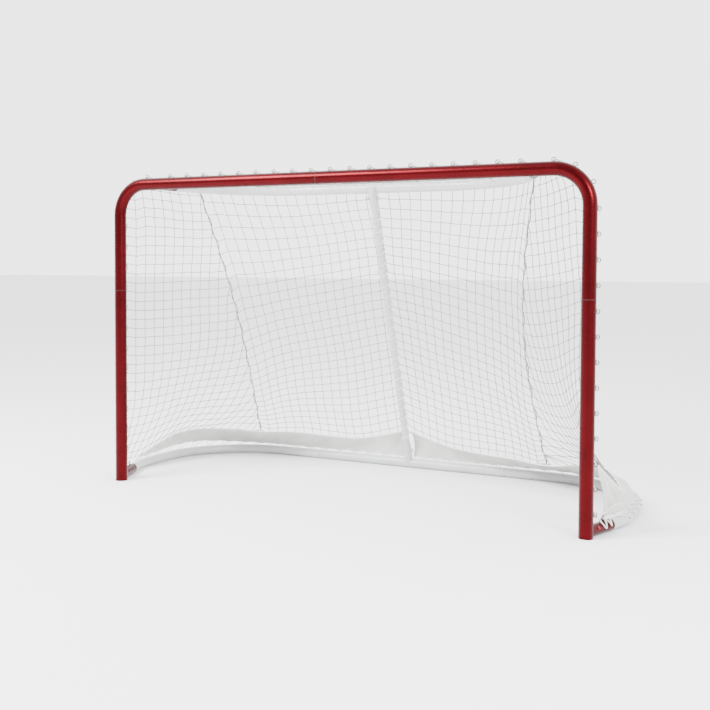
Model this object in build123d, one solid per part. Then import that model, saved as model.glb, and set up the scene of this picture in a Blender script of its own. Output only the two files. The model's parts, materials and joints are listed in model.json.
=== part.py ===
"""Ice and street hockey goal: bolted and snap-jointed steel tube frame with a laced twine net.

Frame: origin on the floor under the middle of the goal's outline, +X to the right seen from
the shooter, +Y into the goal towards its back, +Z up. Lengths in millimetres.
Positions in this file are worked out from the goal line (the plane through the two post axes)
and moved back by GOAL_LINE_Y when a piece is written.
"""
from build123d import *
import math
import os

# ---------------------------------------------------------------- driving dimensions
OPENING_WIDTH = 1828.8          # 72 in between the posts
OVERALL_HEIGHT = 1219.2         # 48 in, floor to the top of the crossbar
FRONT_TUBE = 48.0               # outer diameter of posts and crossbar
FRONT_WALL = 2.0
REAR_TUBE = 38.0                # outer diameter of base, shelf and stubs
REAR_WALL = 1.8
POLE_TUBE = 28.0
POLE_WALL = 1.5
SLIP_GAP = 0.2                  # radial gap between a swaged end and the tube around it
SPIGOT_WALL = 1.6
CORNER_RADIUS = 120.0           # centre line of the bend between post and crossbar

POST_JOINT_Z = 772.0            # height of the seam in each post
CROSSBAR_JOINT_X = -42.0        # the seam sits left of centre by half the swaged end
FRONT_SPIGOT = 84.0             # length of a swaged end in the front frame

BASE_DEPTH = 790.0              # goal line to the axis of the rear base tube
BASE_HALF_WIDTH = 1022.0        # goal centre to the axis of a side base tube
BASE_CORNER_RADIUS = 400.0
BASE_KNEE_RADIUS = 240.0        # gentle bend where a side tube turns straight back
STUB_ANGLE = 20.0               # base stubs splay outwards from the goal's axis
STUB_LENGTH = 146.0
STUB_SPIGOT = 117.0
BASE_JOINT_X = 430.0
BASE_LIFT = 0.8                 # the posts' cut ends stand this much below the base tube
BASE_SPIGOT = 80.0

SHELF_ROOT_X = 768.0            # where the shelf stubs meet the crossbar
SHELF_KNEE = (672.0, 215.0)
SHELF_BACK = (470.0, 398.0)
SHELF_BEND_RADIUS = 400.0
SHELF_DROP = 3.0                # shelf axis below the crossbar's axis at its root
SHELF_FALL = 0.03               # and this much more per millimetre going back
SHELF_STUB = 95.0
SHELF_SPIGOT = 60.0

POLE_TOP_Y = 376.0              # pole axis at shelf height, behind the goal line
SOCKET_OUTER = 34.0
SOCKET_LENGTH = 72.0
POLE_BOLT = 8.0                 # M8
POLE_BOLT_HEAD = 13.0

EYELET_OUTER = 17.5
EYELET_WIRE = 3.2
EYELET_FOOT = 36.0
POST_EYELET_PITCH = 82.6
POST_EYELET_FIRST = 73.0
POST_EYELETS = 13
CROSSBAR_EYELET_PITCH = 78.4
CROSSBAR_EYELETS = 19
CROSSBAR_END_EYELET = 816.0
CORNER_EYELETS = ((27.0, 32.0), (59.0, 40.0))   # place on the bend from upright, and lean back
POST_EYELET_LEAN = 46.0         # rings lean back from straight outwards
CROSSBAR_EYELET_LEAN = 25.0     # and on the crossbar from straight up

LACE = 5.0                      # lacing cord
POLE_LACE = 4.0
NET_BACK = 36.0                 # net's edge behind the post and crossbar axes
NET_OUT_LOW = 4.0               # and outside them, on the posts
NET_OUT_HIGH = 22.0             # and above them, on the crossbar
NET_THICKNESS = 4.0             # the net's solid, about a knot thick
SKIRT_THICKNESS = 3.0

BUTTON = 12.0                   # snap button diameter
BUTTON_PROUD = 3.5
BUTTON_FLANGE = 15.2
BUTTON_FLANGE_THICKNESS = 1.2
BUTTON_HOLE = 12.8
CLIP_STRIP = 0.8
CLIP_WIDTH = 9.0
CLIP_LENGTH = 44.0
STUB_BUTTON_AT = 49.0           # from the post axis along the base stub
STUB_EYELET_AT = 100.0
STUB_BUTTON_TILT = 25.0         # the stub's button looks outwards and a little up

# ---------------------------------------------------------------- worked out from them
POST_X = OPENING_WIDTH / 2 + FRONT_TUBE / 2
CROSSBAR_Z = OVERALL_HEIGHT - FRONT_TUBE / 2
BASE_Z = REAR_TUBE / 2 + BASE_LIFT
FRONT_BORE = FRONT_TUBE - 2 * FRONT_WALL
REAR_BORE = REAR_TUBE - 2 * REAR_WALL
EYELET_REACH = FRONT_TUBE / 2 + EYELET_OUTER / 2 + EYELET_WIRE / 2
OUTLINE_DEPTH = FRONT_TUBE / 2 + BASE_DEPTH + REAR_TUBE / 2 + BUTTON_PROUD
GOAL_LINE_Y = FRONT_TUBE / 2 - OUTLINE_DEPTH / 2
SIDES = {"left": -1, "right": 1}


def unit(vector):
    """The same direction with length one."""
    return Vector(vector).normalized()


def save(node, shape):
    """Move a piece from goal line to frame origin and write it as its own node."""
    os.makedirs("parts", exist_ok=True)
    export_step(shape.moved(Location((0, GOAL_LINE_Y, 0))), f"parts/{node}.step")


def tube(path, outer, bore):
    """Round tube along a path."""
    start = Plane(origin=path @ 0, z_dir=path % 0)
    section = start * (Circle(outer / 2) - Circle(bore / 2))
    return sweep(section, path=path)


def straight_tube(start, end, outer, bore):
    """Round tube between two points."""
    return tube(Line(start, end), outer, bore)


def rod(start, end, diameter):
    """Solid round bar between two points."""
    run = Vector(end) - Vector(start)
    plane = Plane(origin=start, z_dir=unit(run))
    return extrude(plane * Circle(diameter / 2), amount=run.length)


def swaged_end(point, direction, outer, bore, length):
    """Reduced male end that starts at a tube's end face, with the shoulder joining the two."""
    direction = unit(direction)
    spigot = bore - 2 * SLIP_GAP
    inside = spigot - 2 * SPIGOT_WALL
    tip = Vector(point) + direction * length
    root = Vector(point) - direction * 4.0
    shoulder = straight_tube(root, Vector(point), outer - 1.0, inside)
    return straight_tube(root, tip, spigot, inside) + shoulder


def hex_prism(point, direction, across_flats, height):
    """Hexagonal head or nut standing on a point."""
    plane = Plane(origin=point, z_dir=unit(direction))
    return extrude(plane * RegularPolygon(across_flats / 2, 6, major_radius=False), amount=height)


# ---------------------------------------------------------------- centre lines
def stub_point(side, distance):
    """Point on the axis of a base stub, a distance from the post axis."""
    angle = math.radians(STUB_ANGLE)
    x = POST_X + distance * math.sin(angle)
    return Vector(side * x, distance * math.cos(angle), BASE_Z)


def stub_direction(side):
    return unit(stub_point(side, 1) - stub_point(side, 0))


def knee_point(side):
    """Where a side base tube's splayed run would meet its straight run."""
    distance = (BASE_HALF_WIDTH - POST_X) / math.sin(math.radians(STUB_ANGLE))
    return stub_point(side, distance)


def base_side_path(side, start, height):
    return FilletPolyline(
        (start.X, start.Y, height),
        (knee_point(side).X, knee_point(side).Y, height),
        (side * BASE_HALF_WIDTH, BASE_DEPTH, height),
        (side * BASE_JOINT_X, BASE_DEPTH, height),
        radius=[BASE_KNEE_RADIUS, BASE_CORNER_RADIUS],
    )


def shelf_point(x, y):
    """Point in the shelf's plane, which falls slightly towards the back."""
    return Vector(x, y, CROSSBAR_Z - SHELF_DROP - SHELF_FALL * y)


def shelf_root(side):
    return shelf_point(side * SHELF_ROOT_X, 0)


def shelf_direction(side):
    return unit(shelf_point(side * SHELF_KNEE[0], SHELF_KNEE[1]) - shelf_root(side))


def pole_point(z):
    """Point on the axis of the leaning centre pole."""
    top_z = CROSSBAR_Z
    share = (z - BASE_Z) / (top_z - BASE_Z)
    return Vector(0, BASE_DEPTH + (POLE_TOP_Y - BASE_DEPTH) * share, z)


def pole_direction():
    return unit(pole_point(CROSSBAR_Z) - pole_point(BASE_Z))


def along_pole(distance):
    """Point on the pole's axis, a distance up from the rear base tube's axis."""
    return pole_point(BASE_Z) + pole_direction() * distance


# ---------------------------------------------------------------- snap buttons
class SnapJoint:
    """A sprung button that locks a swaged end inside a tube."""

    def __init__(self, name, centre, outward, tail, outer, bore):
        self.name = name
        self.outer = outer
        self.bore = bore - 2 * SLIP_GAP - 2 * SPIGOT_WALL
        self.plane = Plane(origin=centre, x_dir=unit(tail), z_dir=unit(outward))

    def hole(self):
        return self.plane * extrude(Circle(BUTTON_HOLE / 2), amount=self.outer / 2 + 5)

    def flange_top(self):
        sagitta_edge = math.sqrt((self.bore / 2) ** 2 - (BUTTON_FLANGE / 2) ** 2)
        return sagitta_edge - 0.4

    def button(self):
        flange_low = self.flange_top() - BUTTON_FLANGE_THICKNESS
        height = self.outer / 2 + BUTTON_PROUD - flange_low
        stem = extrude(Circle(BUTTON / 2), amount=height)
        stem = fillet(stem.edges().sort_by(Axis.Z)[-1], 2.6)
        flange = extrude(Circle(BUTTON_FLANGE / 2), amount=BUTTON_FLANGE_THICKNESS)
        return self.plane * (Pos(0, 0, flange_low) * (stem + flange))

    def clip(self):
        """Bent leaf: one leg under the button, a fold, and one leg on the far wall."""
        upper = self.flange_top() - BUTTON_FLANGE_THICKNESS - 0.15
        lower = -math.sqrt((self.bore / 2) ** 2 - (CLIP_WIDTH / 2) ** 2) + 0.3
        flat = BUTTON_FLANGE / 2
        fold = 3.5
        inner = CLIP_LENGTH - 1.5 * CLIP_STRIP
        outline = Polyline(
            (-flat, upper), (flat, upper), (CLIP_LENGTH, fold), (CLIP_LENGTH, -fold),
            (flat, lower), (-flat, lower), (-flat, lower + CLIP_STRIP), (flat, lower + CLIP_STRIP),
            (inner, CLIP_STRIP - fold), (inner, fold - CLIP_STRIP),
            (flat, upper - CLIP_STRIP), (-flat, upper - CLIP_STRIP), close=True,
        )
        leaf = extrude(Plane.XZ * make_face(outline), amount=CLIP_WIDTH / 2, both=True)
        return self.plane * leaf


def snap_joints():
    """Every tube joint's button, in the order the frame is put together."""
    joints = []
    tilt = math.radians(STUB_BUTTON_TILT)
    for name, side in SIDES.items():
        joints.append(SnapJoint(
            f"{name}_post", (side * POST_X, 0, POST_JOINT_Z + FRONT_SPIGOT / 2),
            (0, 1, 0), (0, 0, -1), FRONT_TUBE, FRONT_BORE,
        ))
        along = stub_direction(side)
        outward = Vector(side * along.Y, -abs(along.X), 0)
        looking = outward * math.cos(tilt) + Vector(0, 0, math.sin(tilt))
        joints.append(SnapJoint(
            f"{name}_stub", stub_point(side, STUB_BUTTON_AT),
            looking, along, REAR_TUBE, REAR_BORE,
        ))
        joints.append(SnapJoint(
            f"{name}_base", (side * (BASE_JOINT_X + BASE_SPIGOT / 2), BASE_DEPTH, BASE_Z),
            (0, 1, 0), (-side, 0, 0), REAR_TUBE, REAR_BORE,
        ))
        inward = shelf_direction(side)
        across = inward.cross(Vector(0, 0, 1))
        upward = across.cross(inward)
        joints.append(SnapJoint(
            f"{name}_shelf", shelf_root(side) + inward * (SHELF_STUB - SHELF_SPIGOT / 2),
            upward, inward, REAR_TUBE, REAR_BORE,
        ))
    joints.append(SnapJoint(
        "crossbar", (CROSSBAR_JOINT_X - FRONT_SPIGOT / 2, 0, CROSSBAR_Z),
        (0, 1, 0), (1, 0, 0), FRONT_TUBE, FRONT_BORE,
    ))
    return {joint.name: joint for joint in joints}


SNAPS = snap_joints()


def drilled(shape, *names):
    """Cut the button holes that a piece shares with its neighbours."""
    for name in names:
        shape = shape - SNAPS[name].hole()
    return shape


# ---------------------------------------------------------------- steel frame
def right_lower_post():
    """Lower half of the right post with its swaged top and welded base stub."""
    side = SIDES["right"]
    seam = Vector(side * POST_X, 0, POST_JOINT_Z)
    post = straight_tube((side * POST_X, 0, 0), seam, FRONT_TUBE, FRONT_BORE)
    post += swaged_end(seam, (0, 0, 1), FRONT_TUBE, FRONT_BORE, FRONT_SPIGOT)
    stub = straight_tube(stub_point(side, 0), stub_point(side, STUB_LENGTH), REAR_TUBE, REAR_BORE)
    keep_out = rod((side * POST_X, 0, -1), (side * POST_X, 0, FRONT_TUBE * 2), FRONT_TUBE - FRONT_WALL)
    return drilled(post + (stub - keep_out), "right_post", "right_stub")


def corner_tube(name, side):
    """Top of a post, the bend and half of the crossbar, with its welded shelf stub."""
    path = FilletPolyline(
        (side * POST_X, 0, POST_JOINT_Z),
        (side * POST_X, 0, CROSSBAR_Z),
        (CROSSBAR_JOINT_X, 0, CROSSBAR_Z),
        radius=CORNER_RADIUS,
    )
    corner = tube(path, FRONT_TUBE, FRONT_BORE)
    if name == "right":
        seam = (CROSSBAR_JOINT_X, 0, CROSSBAR_Z)
        corner += swaged_end(seam, (-1, 0, 0), FRONT_TUBE, FRONT_BORE, FRONT_SPIGOT)
    root = shelf_root(side)
    tip = root + shelf_direction(side) * SHELF_STUB
    stub = straight_tube(root, tip, REAR_TUBE, REAR_BORE)
    reach = Vector(FRONT_TUBE, 0, 0)
    drop = Vector(0, 0, SHELF_DROP)
    keep_out = rod(root - reach + drop, root + reach + drop, FRONT_TUBE - FRONT_WALL)
    return drilled(corner + (stub - keep_out), f"{name}_post", f"{name}_shelf", "crossbar")


def base_side_tube(name, side):
    """Curved side of the base, swaged into the post's stub."""
    start = stub_point(side, STUB_LENGTH)
    shape = tube(base_side_path(side, start, BASE_Z), REAR_TUBE, REAR_BORE)
    shape += swaged_end(start, -stub_direction(side), REAR_TUBE, REAR_BORE, STUB_SPIGOT)
    return drilled(shape, f"{name}_stub", f"{name}_base")


def pole_socket(start, end):
    return straight_tube(start, end, SOCKET_OUTER, POLE_TUBE + 2 * SLIP_GAP)


def pole_bolt_points():
    """Where the two cross bolts pass through the pole's axis."""
    low = along_pole(REAR_TUBE / 2 + SOCKET_LENGTH * 0.6)
    high = shelf_socket_end() + pole_direction() * SOCKET_LENGTH * 0.35
    return [low, high]


def shelf_socket_end():
    """Lower end of the socket that hangs from the shelf."""
    return pole_point(CROSSBAR_Z - REAR_TUBE) - pole_direction() * SOCKET_LENGTH * 0.6


def bolt_hole(point):
    return rod(point - Vector(SOCKET_OUTER, 0, 0), point + Vector(SOCKET_OUTER, 0, 0), POLE_BOLT + 0.6)


def base_centre_tube():
    """Straight rear base tube, swaged at both ends, with the pole's lower socket welded on."""
    left = Vector(-BASE_JOINT_X, BASE_DEPTH, BASE_Z)
    right = Vector(BASE_JOINT_X, BASE_DEPTH, BASE_Z)
    shape = straight_tube(left, right, REAR_TUBE, REAR_BORE)
    for end, direction in ((left, (-1, 0, 0)), (right, (1, 0, 0))):
        shape += swaged_end(end, direction, REAR_TUBE, REAR_BORE, BASE_SPIGOT)
    socket = pole_socket(along_pole(0), along_pole(REAR_TUBE / 2 + SOCKET_LENGTH))
    socket -= rod(left, right, REAR_TUBE - REAR_WALL)
    return drilled(shape + socket - bolt_hole(pole_bolt_points()[0]), "left_base", "right_base")


def shelf_hoop():
    """Bent shelf tube with the pole's upper socket welded under its middle."""
    ends = [shelf_root(side) + shelf_direction(side) * SHELF_STUB for side in (-1, 1)]
    path = FilletPolyline(
        ends[0],
        shelf_point(-SHELF_KNEE[0], SHELF_KNEE[1]),
        shelf_point(-SHELF_BACK[0], SHELF_BACK[1]),
        shelf_point(*SHELF_BACK),
        shelf_point(*SHELF_KNEE),
        ends[1],
        radius=[SHELF_BEND_RADIUS * 0.85, SHELF_BEND_RADIUS, SHELF_BEND_RADIUS, SHELF_BEND_RADIUS * 0.85],
    )
    shape = tube(path, REAR_TUBE, REAR_BORE)
    for end, side in zip(ends, (-1, 1)):
        shape += swaged_end(end, -shelf_direction(side), REAR_TUBE, REAR_BORE, SHELF_SPIGOT)
    socket = pole_socket(shelf_socket_end(), pole_point(CROSSBAR_Z - REAR_TUBE / 4))
    half = Vector(SOCKET_OUTER * 2, 0, 0)
    middle = shelf_point(0, SHELF_BACK[1])
    socket -= rod(middle - half, middle + half, REAR_TUBE - REAR_WALL)
    shape += socket
    shape -= bolt_hole(pole_bolt_points()[1])
    return drilled(shape, "left_shelf", "right_shelf")


def centre_pole():
    """Leaning pole from the base to the shelf, seated in both sockets."""
    low = along_pole(REAR_TUBE / 2 + 4.0)
    high = pole_point(CROSSBAR_Z - REAR_TUBE)
    shape = straight_tube(low, high, POLE_TUBE, POLE_TUBE - 2 * POLE_WALL)
    for point in pole_bolt_points():
        shape -= bolt_hole(point)
    return shape


def pole_bolts():
    """Hex bolts through sockets and pole."""
    face = SOCKET_OUTER / 2 + 0.3
    bolts = []
    for point in pole_bolt_points():
        shank = rod(point - Vector(face, 0, 0), point + Vector(face + 9, 0, 0), POLE_BOLT)
        bolts.append(shank + hex_prism(point - Vector(face, 0, 0), (-1, 0, 0), POLE_BOLT_HEAD, 5.3))
    return Compound(bolts)


def pole_nuts():
    face = SOCKET_OUTER / 2 + 0.3
    nuts = []
    for point in pole_bolt_points():
        nut = hex_prism(point + Vector(face, 0, 0), (1, 0, 0), POLE_BOLT_HEAD, 6.5)
        bore = rod(point, point + Vector(face + 20, 0, 0), POLE_BOLT + 0.1)
        nuts.append(nut - bore)
    return Compound(nuts)


def foot_plugs():
    """Plastic plugs pushed into the open bottoms of the posts."""
    plugs = []
    for side in SIDES.values():
        low = Vector(side * POST_X, 0, 0.6)
        disc = rod(low, low + Vector(0, 0, 4), FRONT_BORE - 0.2)
        skirt = rod(low, low + Vector(0, 0, 22), FRONT_BORE - 1.0)
        hollow = rod(low + Vector(0, 0, 4), low + Vector(0, 0, 23), FRONT_BORE - 6.0)
        plugs.append(disc + skirt - hollow)
    return Compound(plugs)


# ---------------------------------------------------------------- net eyelets
def eyelet(point, outward, along):
    """Wire ring on a foot bar that lies along the tube."""
    plane = Plane(origin=point, x_dir=unit(along), z_dir=unit(outward))
    wire = EYELET_WIRE / 2
    ring_radius = EYELET_OUTER / 2 - wire
    ring = Pos(0, 0, 2 * wire + ring_radius) * Rot(90, 0, 0) * Torus(ring_radius, wire)
    foot = Pos(0, 0, wire + 0.05) * Rot(0, 90, 0) * Cylinder(wire, EYELET_FOOT)
    return plane * (ring + foot)


def tube_eyelet(axis_point, outward, along, tube_outer):
    return eyelet(Vector(axis_point) + unit(outward) * (tube_outer / 2), outward, along)


def leaning(radial, lean):
    """Direction that points out from a tube and leans back towards the net."""
    angle = math.radians(lean)
    return Vector(*radial) * math.cos(angle) + Vector(0, math.sin(angle), 0)


def across_lean(radial, lean):
    """Direction square to a leaning ring and to its tube."""
    angle = math.radians(lean)
    return Vector(0, math.cos(angle), 0) - Vector(*radial) * math.sin(angle)


def post_eyelets(side):
    """Row down the back of a post, and one on top of its base stub."""
    rings = []
    for index in range(POST_EYELETS):
        z = POST_EYELET_FIRST + index * POST_EYELET_PITCH
        outward = leaning((side, 0, 0), POST_EYELET_LEAN)
        rings.append(tube_eyelet((side * POST_X, 0, z), outward, (0, 0, 1), FRONT_TUBE))
    rings.append(tube_eyelet(stub_point(side, STUB_EYELET_AT), (0, 0, 1), stub_direction(side), REAR_TUBE))
    return Compound(rings)


def corner_frame(side, angle, lean):
    """Axis point, ring direction and tangent on the bend, the angle counted from upright."""
    turn = math.radians(angle)
    radial = Vector(side * math.sin(turn), 0, math.cos(turn))
    centre = Vector(side * (POST_X - CORNER_RADIUS), 0, CROSSBAR_Z - CORNER_RADIUS)
    tangent = Vector(side * math.cos(turn), 0, -math.sin(turn))
    return centre + radial * CORNER_RADIUS, leaning(tuple(radial), lean), tangent


def corner_eyelets(side):
    rings = []
    for angle, lean in CORNER_EYELETS:
        point, outward, along = corner_frame(side, angle, lean)
        rings.append(tube_eyelet(point, outward, along, FRONT_TUBE))
    return Compound(rings)


def crossbar_eyelet_xs():
    first = -CROSSBAR_EYELET_PITCH * (CROSSBAR_EYELETS - 1) / 2
    row = [first + index * CROSSBAR_EYELET_PITCH for index in range(CROSSBAR_EYELETS)]
    return [-CROSSBAR_END_EYELET] + row + [CROSSBAR_END_EYELET]


def crossbar_eyelets():
    rings = []
    outward = leaning((0, 0, 1), CROSSBAR_EYELET_LEAN)
    for x in crossbar_eyelet_xs():
        rings.append(tube_eyelet((x, 0, CROSSBAR_Z), outward, (1, 0, 0), FRONT_TUBE))
    return Compound(rings)


# ---------------------------------------------------------------- lacing
LACE_STEP = 8.5                 # the lace crosses each ring within this distance either side
LACE_SWING = 7.5                # and passes this far to each side of it
LACE_BEND = 10.0


def lace(stations, diameter):
    """Cord that passes through a row of rings, from one side to the other and back."""
    points = []
    swing = LACE_SWING
    for centre, across, along in stations:
        points.append(centre - unit(along) * LACE_STEP + unit(across) * swing)
        points.append(centre + unit(along) * LACE_STEP - unit(across) * swing)
        swing = -swing
    path = FilletPolyline(*points, radius=LACE_BEND)
    return tube_cord(path, diameter)


def tube_cord(path, diameter):
    start = Plane(origin=path @ 0, z_dir=path % 0)
    return sweep(start * Circle(diameter / 2), path=path)


def post_lace(side):
    stations = []
    radial = (side, 0, 0)
    reach = leaning(radial, POST_EYELET_LEAN) * EYELET_REACH
    for index in range(POST_EYELETS):
        centre = Vector(side * POST_X, 0, POST_EYELET_FIRST + index * POST_EYELET_PITCH) + reach
        stations.append((centre, across_lean(radial, POST_EYELET_LEAN), Vector(0, 0, 1)))
    return lace(stations, LACE)


def crossbar_lace():
    stations = []
    for x in crossbar_eyelet_xs():
        centre = Vector(x, 0, CROSSBAR_Z) + leaning((0, 0, 1), CROSSBAR_EYELET_LEAN) * EYELET_REACH
        stations.append((centre, across_lean((0, 0, 1), CROSSBAR_EYELET_LEAN), Vector(1, 0, 0)))
    return lace(stations, LACE)


def base_lace(side):
    """Cord lying on the base tube, from the stub to the pole."""
    start = stub_point(side, STUB_LENGTH)
    height = BASE_LIFT + REAR_TUBE + LACE / 2 + 0.6
    path = base_side_path(side, start, height)
    end = path @ 1
    along = Line(end, (side * SOCKET_OUTER, BASE_DEPTH, height))
    return tube_cord(path + along, LACE)


def pole_lace():
    """Cord down the back of the pole."""
    offset = Vector(0, POLE_TUBE / 2 + POLE_LACE / 2 + 1.0, 0)
    low = along_pole(REAR_TUBE / 2 + SOCKET_LENGTH + 12) + offset
    high = shelf_socket_end() - pole_direction() * 8 + offset
    return rod(low, high, POLE_LACE)


# ---------------------------------------------------------------- net and skirt
SEAM_LOW = Vector(646.0, 620.0, 118.0)
SEAM_HIGH = Vector(700.0, 205.0, 1192.0)
SEAM_SAG = 34.0
NET_BEHIND_POLE = 26.0
NET_CELLS = 6
NET_FLARE = 0.16                # share of the side netting's height that spreads to the base


def seam_point(share):
    """Seam between side and back netting, hanging inwards between its ends."""
    base = SEAM_LOW + (SEAM_HIGH - SEAM_LOW) * share
    pull = math.sin(math.pi * share)
    return base + Vector(-48.0 * pull, -SEAM_SAG * pull, 0)


def post_edge_point(share):
    """Net edge beside the eyelets: up the post and over the bend."""
    low = 60.0
    bend_low = CROSSBAR_Z - CORNER_RADIUS
    run = bend_low - low
    arc = CORNER_RADIUS * math.pi / 2
    distance = share * (run + arc)
    if distance <= run:
        return Vector(POST_X + NET_OUT_LOW, NET_BACK, low + distance)
    turn = (distance - run) / CORNER_RADIUS
    risen = turn / (math.pi / 2)
    radius = CORNER_RADIUS + NET_OUT_LOW + (NET_OUT_HIGH - NET_OUT_LOW) * risen
    x = POST_X - CORNER_RADIUS + radius * math.cos(turn)
    return Vector(x, NET_BACK, bend_low + radius * math.sin(turn))


def skirt_top():
    """Upper edge of the skirt, from the side tube's start to the pole."""
    return Spline(
        (1004, 215, 58), (985, 300, 95), (950, 420, 130), (880, 520, 138),
        (780, 590, 133), tuple(SEAM_LOW), (500, 680, 116), (350, 715, 112),
        (200, 735, 120), (24, 766, 158),
    )


def side_bottom():
    """Lower edge of the side netting: along the stub, then on the skirt to the seam."""
    low = post_edge_point(0)
    return Spline(
        tuple(low), (988, 82, 62), (1001, 130, 60), (1004, 215, 64), (985, 300, 101),
        (950, 420, 136), (880, 520, 144), (780, 590, 139), tuple(SEAM_LOW + Vector(0, 0, 6)),
    )


def shelf_edge():
    """Outer line round the shelf where top and back netting meet."""
    high = CROSSBAR_Z - 2
    return Spline(
        tuple(SEAM_HIGH), (600, 312, high - 8), (450, 395, high - 10),
        (250, 424, high - 11), (0, 424, high - 11),
    )


def patch(bottom, top, near, far, cells_across, cells_up, flare=1.0):
    """Grid of points on a surface hung between four edges, each a function of 0 to 1.

    The bottom edge's own shape fades out over the flare, a share of the height.
    """
    corners = (bottom(0), bottom(1), top(0), top(1))
    rows = []
    for row in range(cells_up + 1):
        v = row / cells_up
        points = []
        for column in range(cells_across + 1):
            u = column / cells_across
            across = near(v) * (1 - u) + far(v) * u
            low = corners[0] * (1 - u) + corners[1] * u
            high = corners[2] * (1 - u) + corners[3] * u
            lower_bulge = (bottom(u) - low) * max(0.0, 1 - v / flare)
            points.append(across + lower_bulge + (top(u) - high) * v)
        rows.append(points)
    return rows


def thin_solid(rows, thickness):
    """Closed solid of even thickness on a grid of points."""
    last_row = len(rows) - 1
    last_column = len(rows[0]) - 1

    def normal(row, column):
        up = rows[min(row + 1, last_row)][column] - rows[max(row - 1, 0)][column]
        across = rows[row][min(column + 1, last_column)] - rows[row][max(column - 1, 0)]
        return unit(across.cross(up))

    def shifted(amount):
        return [
            [rows[r][c] + normal(r, c) * amount for c in range(last_column + 1)]
            for r in range(last_row + 1)
        ]

    outer = shifted(thickness / 2)
    inner = shifted(-thickness / 2)
    quads = []
    for r in range(last_row):
        for c in range(last_column):
            for skin in (outer, inner):
                quads.append((skin[r][c], skin[r][c + 1], skin[r + 1][c + 1], skin[r + 1][c]))
    for c in range(last_column):
        for r in (0, last_row):
            quads.append((outer[r][c], outer[r][c + 1], inner[r][c + 1], inner[r][c]))
    for r in range(last_row):
        for c in (0, last_column):
            quads.append((outer[r][c], outer[r + 1][c], inner[r + 1][c], inner[r][c]))
    faces = []
    for a, b, c, d in quads:
        faces.append(Face(Wire.make_polygon([a, b, c], close=True)))
        faces.append(Face(Wire.make_polygon([a, c, d], close=True)))
    return Solid(Shell(faces))


def on(curve, start=0.0, end=1.0):
    """A curve as a function of 0 to 1, over part of its length."""
    return lambda share: curve @ (start + (end - start) * share)


def net_side():
    bottom = side_bottom()
    high = post_edge_point(1)
    top = Line(high, SEAM_HIGH)
    foot = (bottom @ 1)

    def seam(share):
        return seam_point(share) + (foot - SEAM_LOW) * (1 - share)

    return thin_solid(
        patch(on(bottom), on(top), post_edge_point, seam, NET_CELLS + 2, NET_CELLS * 2, NET_FLARE),
        NET_THICKNESS,
    )


def back_rows():
    """Right half of the back netting, from the seam to the line behind the pole."""
    gap = Vector(0, 8, 6)
    top = shelf_edge()
    low = pole_point(160) + Vector(0, NET_BEHIND_POLE, 6)
    bottom = Spline(
        tuple(SEAM_LOW + gap), (500, 686, 122), (350, 722, 118), (200, 742, 128), tuple(low),
    )
    top_shift = Vector(0, 6, -8)
    high = (top @ 1) + top_shift

    def seam(share):
        return seam_point(share) + gap * (1 - share) + top_shift * share

    def pole_line(share):
        return low * (1 - share) + high * share

    def upper(share):
        return (top @ share) + top_shift

    return patch(on(bottom), upper, seam, pole_line, NET_CELLS, NET_CELLS + 2)


def flipped(point):
    return Vector(-point.X, point.Y, point.Z)


def both_halves(rows):
    """Grid that joins a right half to its mirror image along the goal's middle."""
    return [row + [flipped(point) for point in reversed(row[:-1])] for row in rows]


def net_back():
    return thin_solid(both_halves(back_rows()), NET_THICKNESS)


def net_top():
    """Netting from the crossbar's eyelets back over the shelf."""
    rise = Vector(0, 0, REAR_TUBE / 2 + 4)
    lip = CROSSBAR_Z + NET_OUT_HIGH
    front_end = Vector(POST_X - CORNER_RADIUS - 26, NET_BACK, lip)
    front = Line(front_end, (0, NET_BACK, lip))
    back = shelf_edge()
    inset = Vector(-24, 0, 0)

    def rear(share):
        return (back @ share) + rise + inset * (1 - share)

    def outer_side(share):
        return front_end * (1 - share) + rear(0) * share

    def middle(share):
        return Vector(0, NET_BACK, lip) * (1 - share) + rear(1) * share

    rows = patch(on(front), rear, outer_side, middle, NET_CELLS, 4)
    return thin_solid(both_halves(rows), NET_THICKNESS)


def skirt():
    """Fabric band between the base tube and the lower edge of the net."""
    top = skirt_top()
    height = BASE_LIFT + REAR_TUBE + LACE + 5
    ground = FilletPolyline(
        (1012, 215, height),
        (BASE_HALF_WIDTH - 4, 300, height),
        (BASE_HALF_WIDTH - 4, BASE_DEPTH - 4, height),
        (24, BASE_DEPTH - 4, height),
        radius=[60, BASE_CORNER_RADIUS],
    )

    def near(share):
        return (ground @ 0) * (1 - share) + (top @ 0) * share

    def far(share):
        return (ground @ 1) * (1 - share) + (top @ 1) * share

    return thin_solid(patch(on(ground), on(top), near, far, 16, 2), SKIRT_THICKNESS)


# ---------------------------------------------------------------- write every node
for name, side in SIDES.items():
    save(f"{name}_corner_tube", corner_tube(name, side))
    save(f"{name}_base_tube", base_side_tube(name, side))
    save(f"eyelets_{name}_post", post_eyelets(side))
    save(f"eyelets_{name}_corner", corner_eyelets(side))
    save(f"lace_{name}_post", post_lace(side))
    save(f"lace_{name}_base", base_lace(side))

lower_post = right_lower_post()
save("right_lower_post", lower_post)
save("left_lower_post", lower_post.mirror(Plane.YZ))
save("base_centre_tube", base_centre_tube())
save("shelf_hoop", shelf_hoop())
save("centre_pole", centre_pole())
save("pole_bolts", pole_bolts())
save("pole_nuts", pole_nuts())
save("post_foot_plugs", foot_plugs())
save("eyelets_crossbar", crossbar_eyelets())
save("lace_crossbar", crossbar_lace())
save("lace_pole", pole_lace())

right_side_net = net_side()
save("net_right_side", right_side_net)
save("net_left_side", right_side_net.mirror(Plane.YZ))
save("net_back", net_back())
save("net_top", net_top())
right_skirt = skirt()
save("skirt_right", right_skirt)
save("skirt_left", right_skirt.mirror(Plane.YZ))

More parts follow.
